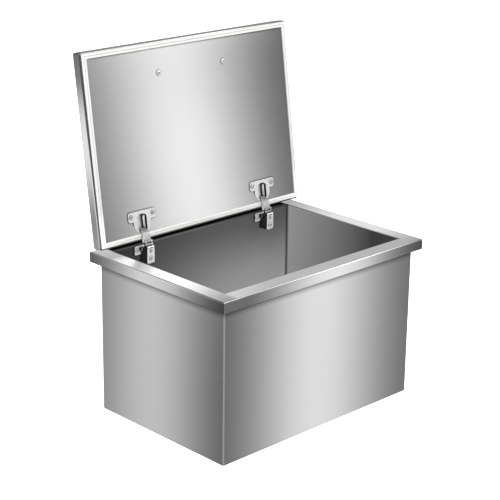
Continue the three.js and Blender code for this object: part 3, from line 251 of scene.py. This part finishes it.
def shaded_panel(tree, where):
    """The panel dims a little towards its top and in a thin line round each hinge's cup plate.

    Its back side, which only mirrors see, keeps its light.
    """
    place = add(tree, "ShaderNodeSeparateXYZ", Vector=where.outputs["Object"])
    forward = add(tree, "ShaderNodeVectorMath", ALONG_LID_FACE, in_0=where.outputs["Normal"])
    aside = add(tree, "ShaderNodeMath", UNSIGNED, in_0=place.outputs["X"])
    off_seal = share_over(tree, aside, PANEL_INSIDE_SEAL)
    off_seal = share_over(tree, place.outputs["Z"], PANEL_ABOVE_SEAL, of=off_seal)
    crevices = in_crevices(tree, reach_mm=4, depth=2.5)
    near = add(tree, "ShaderNodeMix", {"in_2": 1}, in_0=off_seal, in_3=crevices)
    front = share_over(tree, place.outputs["Z"], PANEL_TOWARDS_TOP, of=near)
    back = share_over(tree, forward, PANEL_LOOKS_BACK)
    return add(tree, "ShaderNodeMath", LARGER, in_0=front, in_1=back)


SKIN_LOOKS_FORWARD = ((0.25, 1), (0.55, 0.3))
SKIN_LOOKS_UP = ((0.5, 1), (0.9, 0.55))
SKIN_NEAR_TOP = ((LID_TOP - 0.006, 0), (LID_TOP - 0.003, 1))
SKIN_TOP_SHARE = 0.5


def shaded_skin(tree, where):
    """Painted shade darkens the lid's fold beside the seal, and its far edge gets a painted dark reflection
    of the room.
    """
    forward = add(tree, "ShaderNodeVectorMath", ALONG_LID_FACE, in_0=where.outputs["Normal"])
    upward = add(tree, "ShaderNodeVectorMath", ALONG_LID_UP, in_0=where.outputs["Normal"])
    height = add(tree, "ShaderNodeVectorMath", ALONG_LID_UP, in_0=where.outputs["Object"])
    fold = share_over(tree, forward, SKIN_LOOKS_FORWARD)
    edge = share_over(tree, upward, SKIN_LOOKS_UP)
    darker = add(tree, "ShaderNodeMath", SMALLER, in_0=fold, in_1=edge)
    at_top = share_over(tree, height, SKIN_NEAR_TOP)
    return add(tree, "ShaderNodeMix", {"in_3": SKIN_TOP_SHARE}, in_0=at_top, in_2=darker)


SPRING_RUNS_IN = ((SPRING_BACK + 0.35 * SPRING_DEPTH, 0.06), (SPRING_BACK + 0.55 * SPRING_DEPTH, 1))


def shaded_spring(tree, where):
    """The spring's strip is bright where it bulges out of the cup and dark where it runs in."""
    depth = add(tree, "ShaderNodeVectorMath", ALONG_LID_FACE, in_0=where.outputs["Object"])
    return share_over(tree, depth, SPRING_RUNS_IN)


SEAL_UP_FROM_BOTTOM_RUN = ((0.345, 0.9), (0.395, 0.64))


def shaded_seal(tree, where):
    """Painted shade: the seal is palest on its bottom run and painted greyer above it, in its groove and at
    its edges.
    """
    place = add(tree, "ShaderNodeSeparateXYZ", Vector=where.outputs["Object"])
    run = share_over(tree, place.outputs["Z"], SEAL_UP_FROM_BOTTOM_RUN)
    return in_crevices(tree, reach_mm=2, depth=0.6, of=run)


def shaded_evenly(tree, where):
    """Foam and rubber get only a little painted shade in their gaps."""
    return in_crevices(tree, reach_mm=3, depth=0.5)


# Brushing: the nudge gives a level face a grain too, the two noises add up to the range, and
# the anisotropy is high, as on a belt-brushed sheet
GRAIN_NUDGE = (0.001, 0, 0)
LID_SIDE_FACING = 0.7
GRAIN_RANGE = {"in_From Min": 0.6, "in_From Max": 1.4}
GRAIN_ROUGHNESS = 0.012
GRAIN_ANISOTROPY = 0.9
STREAK_WIDENING = (0.3, 0.3, 1)


def wall_grain(tree, where):
    """Level on the walls, and along the length on floors."""
    side = add(tree, "ShaderNodeVectorMath", {"operation": "CROSS_PRODUCT", "in_0": (0, 0, 1)},
               in_1=where.outputs["Normal"])
    nudged = add(tree, "ShaderNodeVectorMath", {"operation": "ADD", "in_1": GRAIN_NUDGE}, in_0=side)
    return add(tree, "ShaderNodeVectorMath", {"operation": "NORMALIZE"}, in_0=nudged)


def rim_grain(tree, where):
    """Along each strip of the rim, which meet in mitres."""
    place = add(tree, "ShaderNodeSeparateXYZ", Vector=where.outputs["Object"])
    insets = []
    for axis, half in (("X", RIM_RIGHT), ("Y", RIM_BACK)):
        off_centre = add(tree, "ShaderNodeMath", UNSIGNED, in_0=place.outputs[axis])
        insets.append(add(tree, "ShaderNodeMath", {"operation": "SUBTRACT", "in_0": half}, in_1=off_centre))
    at_side = add(tree, "ShaderNodeMath", {"operation": "LESS_THAN"}, in_0=insets[0], in_1=insets[1])
    return add(tree, "ShaderNodeMix", {"data_type": "VECTOR", "in_4": (1, 0, 0), "in_5": (0, 1, 0)},
               Factor=at_side)


def lid_grain(tree, where):
    """Along the lid's width, and along each edge at its sides."""
    facing = add(tree, "ShaderNodeSeparateXYZ", Vector=where.outputs["Normal"])
    aside = add(tree, "ShaderNodeMath", UNSIGNED, in_0=facing.outputs["X"])
    at_side = add(tree, "ShaderNodeMath", {"operation": "GREATER_THAN", "in_1": LID_SIDE_FACING}, in_0=aside)
    return add(tree, "ShaderNodeMix", {"data_type": "VECTOR", "in_4": (1, 0, 0), "in_5": tuple(LID_UP)},
               Factor=at_side)


def brushed_stainless(name, tones, roughness, grain_rule, shade_rule, top_roughness=0, metal=1,
                      grain_length_mm=60, grain_width_mm=0.5):
    """Cold-rolled stainless sheet with a belt-brushed grain.

    The grain smears every reflection across itself, so a panel shows wide soft bands
    that run across the brushing, with faint hairlines along it. The grain width is a few
    times the real one, because the real hairlines are too fine to show.
    """
    made, tree = new_material(name)
    where = add(tree, "ShaderNodeTexCoord")
    along = grain_rule(tree, where)
    across = add(tree, "ShaderNodeVectorMath", CROSSED, in_0=where.outputs["Normal"], in_1=along)
    steps = []
    for direction, size_mm in ((along, grain_length_mm), (across, grain_width_mm)):
        reach = add(tree, "ShaderNodeVectorMath", {"operation": "DOT_PRODUCT"},
                    in_0=where.outputs["Object"], in_1=direction)
        step = add(tree, "ShaderNodeMath", {"operation": "MULTIPLY", "in_1": 1000 / size_mm}, in_0=reach)
        steps.append(step)
    spot = add(tree, "ShaderNodeCombineXYZ", X=steps[0], Y=steps[1])
    hairline = add(tree, "ShaderNodeTexNoise", {"in_Scale": 1, "in_Detail": 3, "in_Roughness": 0.6},
                   Vector=spot)
    wide = add(tree, "ShaderNodeVectorMath", {"operation": "MULTIPLY", "in_1": STREAK_WIDENING}, in_0=spot)
    streak = add(tree, "ShaderNodeTexNoise", {"in_Scale": 1, "in_Detail": 2}, Vector=wide)
    grain = add(tree, "ShaderNodeMath", {"operation": "ADD"}, in_0=hairline, in_1=streak)
    tone = add(tree, "ShaderNodeMapRange", GRAIN_RANGE, Value=grain)
    colour = add(tree, "ShaderNodeMix", {
        "data_type": "RGBA", "in_6": linear(tones[0]), "in_7": linear(tones[1]),
    }, Factor=tone)
    gloss = add(tree, "ShaderNodeMapRange", {
        **GRAIN_RANGE, "in_To Min": roughness - GRAIN_ROUGHNESS, "in_To Max": roughness + GRAIN_ROUGHNESS,
    }, Value=grain)
    facing = add(tree, "ShaderNodeSeparateXYZ", Vector=where.outputs["Normal"])
    rough = add(tree, "ShaderNodeMath", {"operation": "MULTIPLY_ADD", "in_1": top_roughness},
                in_0=facing.outputs["Z"], in_2=gloss)
    tangent = add(tree, "ShaderNodeVectorTransform", {
        "vector_type": "VECTOR", "convert_from": "OBJECT", "convert_to": "WORLD",
    }, Vector=across)
    # The shade rule's share paints shade and highlight into the base colour and into the reflection's tint
    shade = shade_rule(tree, where)
    shaded = add(tree, "ShaderNodeVectorMath", {"operation": "SCALE"}, in_0=colour, Scale=shade)
    gleam = add(tree, "ShaderNodeCombineXYZ", X=shade, Y=shade, Z=shade)
    steel = add(tree, "ShaderNodeBsdfPrincipled", {"in_Metallic": metal, "in_Anisotropic": GRAIN_ANISOTROPY},
                Base_Color=shaded, Specular_Tint=gleam, Roughness=rough, Tangent=tangent)
    add(tree, "ShaderNodeOutputMaterial", Surface=steel)
    return made


def faint_waves(tree, where, size_mm, height_mm=0.2):
    """The faint soft waves that polishing and plating leave: their pattern and their relief."""
    waves = add(tree, "ShaderNodeTexNoise", {"in_Scale": 1000 / size_mm, "in_Detail": 2},
                Vector=where.outputs["Object"])
    relief = add(tree, "ShaderNodeBump", {"in_Strength": 0.05, "in_Distance": height_mm / 1000}, Height=waves)
    return waves, relief


def polished_stainless(name, tones, roughness, spread=0.04):
    """Polished stainless rod and screw heads: a bright, nearly even mirror with faint soft waves."""
    made, tree = new_material(name)
    where = add(tree, "ShaderNodeTexCoord")
    waves, relief = faint_waves(tree, where, size_mm=6.25)
    gloss = add(tree, "ShaderNodeMapRange", {
        "in_To Min": roughness - spread, "in_To Max": roughness + spread,
    }, Value=waves)
    colour = add(tree, "ShaderNodeMix", {
        "data_type": "RGBA", "in_6": linear(tones[0]), "in_7": linear(tones[1]),
    }, Factor=waves)
    # Painted shade darkens the colour in gaps and under edges
    shade = in_crevices(tree, reach_mm=6, depth=1.5)
    shaded = add(tree, "ShaderNodeVectorMath", {"operation": "SCALE"}, in_0=colour, Scale=shade)
    steel = add(tree, "ShaderNodeBsdfPrincipled", {"in_Metallic": 1},
                Base_Color=shaded, Roughness=gloss, Normal=relief)
    add(tree, "ShaderNodeOutputMaterial", Surface=steel)
    return made


# The satin plating is less than all metal, so that it takes some of the soft boxes' even light
PLATING_METAL = 0.6

# How a hinge piece is turned: the axis of its broad faces, the stops at which they look
# forward, and the stops from its left side to its right
PRESSED_FLAT = ("Y", ((0.45, 0), (0.7, 1)), ((0.2, 0), (0.6, 1)))
BENT_OVER = ("X", ((0.3, 1), (0.6, 0)), ((-0.1, 0), (0.1, 1)))
WAVE_TONES = ((0, 0.86), (1, 1))


def nickel_plated_steel(name, face, left, right, roughness, form=PRESSED_FLAT, shade_rule=None):
    """Satin nickel plating on pressed steel.

    The pressed faces that look forward have one tone. The cut edges, cheeks and hollows
    beside them carry painted light and shade, one tone on the left and another on the right,
    and painted shade turns the gaps nearly black.
    """
    made, tree = new_material(name)
    where = add(tree, "ShaderNodeTexCoord")
    facing = add(tree, "ShaderNodeSeparateXYZ", Vector=where.outputs["Normal"])
    axis, face_stops, side_stops = form
    # Painted light and shade: the sides get one tone where they face left and another where they face right
    looks_right = share_over(tree, facing.outputs["X"], side_stops)
    painted_side_tones = add(tree, "ShaderNodeMix", {"data_type": "RGBA", "in_6": linear(left), "in_7": linear(right)},
                Factor=looks_right)
    broad = add(tree, "ShaderNodeMath", UNSIGNED, in_0=facing.outputs[axis])
    looks_forward = share_over(tree, broad, face_stops)
    tones = add(tree, "ShaderNodeMix", {"data_type": "RGBA", "in_7": linear(face)},
                Factor=looks_forward, in_6=painted_side_tones)
    waves, relief = faint_waves(tree, where, size_mm=4.55)
    # Painted shade in the gaps, varied a little by the faint waves
    shade = in_crevices(tree, reach_mm=6, depth=2.5, of=share_over(tree, waves, WAVE_TONES))
    if shade_rule:
        shade = add(tree, "ShaderNodeMath", PRODUCT, in_0=shade, in_1=shade_rule(tree, where))
    shaded = add(tree, "ShaderNodeVectorMath", {"operation": "SCALE"}, in_0=tones, Scale=shade)
    plating = add(tree, "ShaderNodeBsdfPrincipled", {"in_Metallic": PLATING_METAL, "in_Roughness": roughness},
                  Base_Color=shaded, Specular_Tint=shaded, Normal=relief)
    add(tree, "ShaderNodeOutputMaterial", Surface=plating)
    return made


def moulded(name, tones, roughness, grain_mm, depth_mm=0.05, shade_rule=shaded_evenly):
    """A moulded or foamed material: an even colour with a fine grain in its surface."""
    made, tree = new_material(name)
    where = add(tree, "ShaderNodeTexCoord")
    grain = add(tree, "ShaderNodeTexNoise", {"in_Scale": 1000 / grain_mm, "in_Detail": 3},
                Vector=where.outputs["Object"])
    colour = add(tree, "ShaderNodeMix", {
        "data_type": "RGBA", "in_6": linear(tones[0]), "in_7": linear(tones[1]),
    }, Factor=grain)
    relief = add(tree, "ShaderNodeBump", {"in_Strength": 0.3, "in_Distance": depth_mm / 1000}, Height=grain)
    # The shade rule paints shade into the colour: in gaps, and on the seal also up from its bottom run
    shade = shade_rule(tree, where)
    shaded = add(tree, "ShaderNodeVectorMath", {"operation": "SCALE"}, in_0=colour, Scale=shade)
    body = add(tree, "ShaderNodeBsdfPrincipled", {
        "in_Metallic": 0, "in_IOR": 1.45, "in_Roughness": roughness,
    }, Base_Color=shaded, Normal=relief)
    add(tree, "ShaderNodeOutputMaterial", Surface=body)
    return made


# Brushed stainless sheet: cool grey, with wide soft bands across its grain
SHEET_ROUGHNESS = 0.14
wall_steel = brushed_stainless(
    "brushed_stainless_walls", ("c0c0c0", "c6c6c6"), SHEET_ROUGHNESS,
    grain_rule=wall_grain, shade_rule=shaded_wall)
rim_steel = brushed_stainless(
    "brushed_stainless_rim", ("bababa", "cccccc"), SHEET_ROUGHNESS,
    grain_rule=rim_grain, shade_rule=shaded_rim, top_roughness=0.16)
lid_steel = brushed_stainless(
    "brushed_stainless_lid", ("c1c1c1", "c5c5c5"), SHEET_ROUGHNESS,
    grain_rule=lid_grain, shade_rule=shaded_panel)
skin_steel = brushed_stainless(
    "brushed_stainless_lid_skin", ("c0c0c0", "c6c6c6"), SHEET_ROUGHNESS,
    grain_rule=lid_grain, shade_rule=shaded_skin)

# The tub's sheet is brushed more coarsely: it shows no bands, only soft painted shade
tub_steel = brushed_stainless(
    "brushed_stainless_tub", ("f4f4f4", "fafafa"), roughness=0.30,
    grain_rule=wall_grain, shade_rule=shaded_tub, metal=0.8)

# Nickel-plated hinge pieces: pale broad faces, with painted shade and painted light on their sides that set
# them off
cup_steel = nickel_plated_steel(
    "plated_cup_steel", face="dcdcdc", left="0c0c0c", right="c8c8c8", roughness=0.25)
arm_steel = nickel_plated_steel(
    "plated_arm_steel", face="f2f2f2", left="2c2c2c", right="8a8a8a", roughness=0.25)
link_steel = nickel_plated_steel(
    "plated_link_steel", face="8c8c8c", left="f8f8f8", right="606060", roughness=0.28, form=BENT_OVER)
spring_steel = nickel_plated_steel(
    "bright_spring_steel", face="f4f4f4", left="f0f0f0", right="101010", roughness=0.22,
    shade_rule=shaded_spring)
pale_screw_steel = nickel_plated_steel(
    "pale_screw_steel", face="d8d8d8", left="a0a0a0", right="a0a0a0", roughness=0.3)

# Polished stainless: bright screw heads, drain and handle
screw_steel = polished_stainless("screw_steel", ("d0d0d0", "e8e8e8"), roughness=0.24)
handle_steel = polished_stainless("polished_stainless", ("c8c8ca", "d6d6d8"), roughness=0.16)

# Extruded silicone is a soft even white, poured foam is pale yellow and matt, and moulded
# rubber is nearly black and matt
silicone = moulded(
    "white_silicone_seal", ("dededc", "e4e4e2"), roughness=0.5, grain_mm=2.0, shade_rule=shaded_seal)
foam = moulded("polyurethane_foam", ("e2d6ae", "efe6c6"), roughness=0.95, grain_mm=1.2, depth_mm=0.4)
rubber = moulded("black_rubber", ("1c1c1e", "29292b"), roughness=0.7, grain_mm=1.0)

by_name = {
    "rim_frame": rim_steel, "inner_liner": tub_steel, "outer_shell": wall_steel, "bin_foam": foam,
    "drain_body": handle_steel, "drain_washer": rubber, "drain_nut": screw_steel,
    "drain_strainer": handle_steel, "drain_plug": rubber, "lid_outer_skin": skin_steel,
    "lid_inner_panel": lid_steel, "lid_foam": foam, "lid_gasket": silicone,
    "lid_stiffener": wall_steel, "lid_handle": handle_steel,
}
by_ending = {
    "hinge_cup": cup_steel, "hinge_arm": arm_steel, "mounting_plate": arm_steel,
    "hinge_link": link_steel, "cup_spring": spring_steel, "nut_bar": wall_steel,
    "screw_left": pale_screw_steel, "screw_right": pale_screw_steel,
}
for name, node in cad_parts.items():
    material = by_name.get(name) or by_ending.get(name.split("_", 1)[1], screw_steel)
    node.data.materials.clear()
    node.data.materials.append(material)

# The brushed steel mirrors the studio's cards and the lid's panel, and not the small pieces
for name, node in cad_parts.items():
    node.visible_glossy = name == "lid_inner_panel"


def card(name, low, high, material):
    """A flat card between two corners, flat along the axis where both corners agree."""
    flat = [i for i in range(3) if low[i] == high[i]][0]
    a, b = [i for i in range(3) if i != flat]
    corners = []
    for first, second in ((low, low), (high, low), (high, high), (low, high)):
        corner = [0, 0, 0]
        corner[flat] = low[flat]
        corner[a] = first[a]
        corner[b] = second[b]
        corners.append(corner)
    mesh = bpy.data.meshes.new(name)
    mesh.from_pydata(corners, [], [(0, 1, 2, 3)])
    mesh.materials.append(material)
    made = bpy.data.objects.new(name, mesh)
    bpy.context.collection.objects.link(made)
    return made


# Floor: a pale sheet far wider than the view, just under the bin
FLOOR_REACH = 30
FLOOR_DROP = 0.001
FLOOR_MOTTLE_MM = 1000 / 3


def pale_floor_paint():
    """Matt white paint that glows a little, so that it stays pale everywhere."""
    made, tree = new_material("pale_floor")
    where = add(tree, "ShaderNodeTexCoord")
    mottle = add(tree, "ShaderNodeTexNoise", {"in_Scale": 1000 / FLOOR_MOTTLE_MM, "in_Detail": 2},
                 Vector=where.outputs["Object"])
    colour = add(tree, "ShaderNodeMix", {
        "data_type": "RGBA", "in_6": linear("fafafa"), "in_7": linear("ffffff"),
    }, Factor=mottle)
    matt = add(tree, "ShaderNodeBsdfDiffuse", Color=colour)
    glow = add(tree, "ShaderNodeEmission", {"in_Strength": 0.75})
    paint = add(tree, "ShaderNodeAddShader", in_0=matt, in_1=glow)
    add(tree, "ShaderNodeOutputMaterial", Surface=paint)
    return made


floor = card("pale_floor", (-FLOOR_REACH, -FLOOR_REACH, -FLOOR_DROP), (FLOOR_REACH, FLOOR_REACH, -FLOOR_DROP),
             pale_floor_paint())
floor.visible_glossy = False


def card_light(name, axis, stops):
    """Light whose brightness changes along one axis: stops are (metres, brightness)."""
    made, tree = new_material(name)
    where = add(tree, "ShaderNodeNewGeometry")
    place = add(tree, "ShaderNodeSeparateXYZ", Vector=where.outputs["Position"])
    first, last = stops[0][0], stops[-1][0]
    brightest = max(value for _, value in stops)
    along = add(tree, "ShaderNodeMapRange", {"in_From Min": first, "in_From Max": last},
                Value=place.outputs[axis])
    ramp = add(tree, "ShaderNodeValToRGB", Fac=along)
    ramp.color_ramp.interpolation = "B_SPLINE"
    elements = ramp.color_ramp.elements
    for i, (metres, value) in enumerate(stops):
        position = (metres - first) / (last - first)
        element = elements[i] if i < len(elements) else elements.new(position)
        element.position = position
        share = value / brightest
        element.color = (share, share, share, 1)
    power = add(tree, "ShaderNodeMath", {"operation": "MULTIPLY", "in_1": brightest}, in_0=ramp)
    glow = add(tree, "ShaderNodeEmission", Strength=power)
    add(tree, "ShaderNodeOutputMaterial", Surface=glow)
    return made


def soft_band(middle, peak, left, right):
    """Stops across one soft box, whose light falls off in a bell to its left and right.

    Each side is (spread in metres, brightness beyond).
    """
    stops = []
    for step in BAND_STEPS:
        offset = step * BAND_STEP
        spread, beyond = left if offset < 0 else right
        bell = math.exp(-(offset / spread) ** 2 / 2)
        stops.append((middle + offset, beyond + (peak - beyond) * bell))
    return stops


def light_card(name, low, high, axis, stops):
    """A large soft light card that only the steel's reflections see."""
    made = card(name, low, high, card_light(name, axis, stops))
    made.visible_camera = False
    made.visible_diffuse = False
    made.visible_shadow = False
    made.visible_transmission = False


# Studio: where the cards stand round the bin, in metres
CARD_FRONT, CARD_BACK = -1.2, 1.5
CARD_ASIDE = -1.2
CARD_LEFT, CARD_RIGHT = -2.4, 3.4
CARD_FOOT, CARD_TOP = -1.8, 2.6
SIDE_NEAR, SIDE_FAR = -2.6, 2.6
BACK_LEFT = -2.8
TOP_DEPTH = 2.4
MIDDLE_FOOT, MIDDLE_TOP = 0, 0.9
LEFT_MIDDLE_FOOT = -0.12
BAND_STEP = 0.12
BAND_STEPS = range(-3, 5)

# The brightness along each card, set so that the steel shows the photograph's bands
light_card("front_low", (CARD_LEFT, CARD_FRONT, CARD_FOOT), (CARD_RIGHT, CARD_FRONT, MIDDLE_FOOT), "X", [
    (-2.4, 0.7), (-1.8, 0.9), (-1.2, 0.9), (-0.6, 0.5), (0, 0.4), (0.4, 0.3), (0.6, 0.15),
    *soft_band(middle=1.10, peak=1.58, left=(0.145, 0.12), right=(0.16, 0.15)),
    (1.8, 0.3), (2.6, 0.8), (3.4, 0.3),
])
light_card("front_middle", (CARD_LEFT, CARD_FRONT, MIDDLE_FOOT), (CARD_RIGHT, CARD_FRONT, MIDDLE_TOP), "X", [
    (-2.4, 0.7), (-1.8, 0.9), (-1.2, 0.9), (-0.6, 0.5), (0, 0.4), (0.4, 0.3), (0.6, 0.2),
    *soft_band(middle=1.12, peak=1.68, left=(0.175, 0.2), right=(0.185, 0.13)),
    (1.7, 0.15), (1.8, 0.3), (2.6, 0.8), (3.4, 0.3),
])
light_card("front_high", (CARD_LEFT, CARD_FRONT, MIDDLE_TOP), (CARD_RIGHT, CARD_FRONT, CARD_TOP), "X", [
    (-2.4, 1.2), (-1.2, 1.2), (0.2, 1.2), (1.1, 3.6), (1.2, 4.2), (1.3, 5.0), (1.4, 6.0), (1.48, 6.0),
    (1.56, 4.0), (1.63, 1.5), (1.7, 0.95), (2.1, 1.1), (3.4, 1.2),
])
light_card("left_low", (CARD_ASIDE, SIDE_NEAR, CARD_FOOT), (CARD_ASIDE, SIDE_FAR, LEFT_MIDDLE_FOOT), "Y", [
    (-2.6, 0.3), (-1.9, 0.8), (-1.2, 0.9), (-0.6, 0.5), (0, 0.4), (0.5, 0.25), (0.7, 0.15),
    *soft_band(middle=1.16, peak=1.24, left=(0.115, 0.1), right=(0.1, 0.28)),
    (1.8, 0.3), (2.6, 0.3),
])
light_card("left_middle", (CARD_ASIDE, SIDE_NEAR, LEFT_MIDDLE_FOOT), (CARD_ASIDE, SIDE_FAR, CARD_TOP), "Z", [
    (-0.12, 0.2), (-0.07, 0.35), (-0.02, 0.8), (0.03, 1.5), (0.08, 1.75), (0.14, 1.9), (0.19, 1.9),
    (0.24, 1.35), (0.29, 0.1), (0.6, 0.2), (2.6, 0.9),
])
light_card("right_card", (CARD_RIGHT, SIDE_NEAR, CARD_FOOT), (CARD_RIGHT, SIDE_FAR, CARD_TOP), "Y", [
    (-2.6, 0.3), (-1.9, 0.8), (-1.2, 0.2), (-0.5, 0.8), (0.1, 0.25), (0.7, 0.8), (1.3, 0.2), (2.0, 0.7),
    (2.6, 0.3),
])
light_card("back_card", (BACK_LEFT, CARD_BACK, CARD_FOOT), (CARD_RIGHT, CARD_BACK, CARD_TOP), "X", [
    (-2.8, 0.3), (-2.0, 0.8), (-1.3, 0.2), (-0.6, 0.8), (0, 0.25), (0.6, 0.7), (1.2, 0.9), (1.9, 0.9),
    (2.8, 0.6),
])
light_card("top_card", (CARD_LEFT, -TOP_DEPTH, CARD_TOP), (CARD_RIGHT, TOP_DEPTH, CARD_TOP), "X", [
    (-2, 0.7), (-0.6, 0.9), (0.4, 1.0), (2, 0.8),
])

# Soft boxes: what they point at and how wide they are, in metres, and the room's own light
AIM = (0, 0, 0.3)
BOX_WIDTH = 2.0
ROOM_LIGHT = 0.9


def soft_box(name, place, watts):
    """A soft light that brightens the matt pieces and leaves no spot in the steel."""
    data = bpy.data.lights.new(name, "AREA")
    data.shape = "SQUARE"
    data.size = BOX_WIDTH
    data.energy = watts
    made = bpy.data.objects.new(name, data)
    bpy.context.collection.objects.link(made)
    made.location = place
    made.rotation_mode = "QUATERNION"
    made.rotation_quaternion = (Vector(AIM) - Vector(place)).to_track_quat("-Z", "Y")
    made.visible_glossy = False


soft_box("key_soft_box", place=(-2.2, -2.6, 2.6), watts=110)
soft_box("fill_soft_box", place=(2.6, -1.8, 2.0), watts=50)
soft_box("back_soft_box", place=(0.5, 3.0, 2.4), watts=60)

world = bpy.data.worlds.new("studio")
bpy.context.scene.world = world
world.use_nodes = True
room = world.node_tree.nodes["Background"]
room.inputs["Color"].default_value = (1, 1, 1, 1)
room.inputs["Strength"].default_value = ROOM_LIGHT
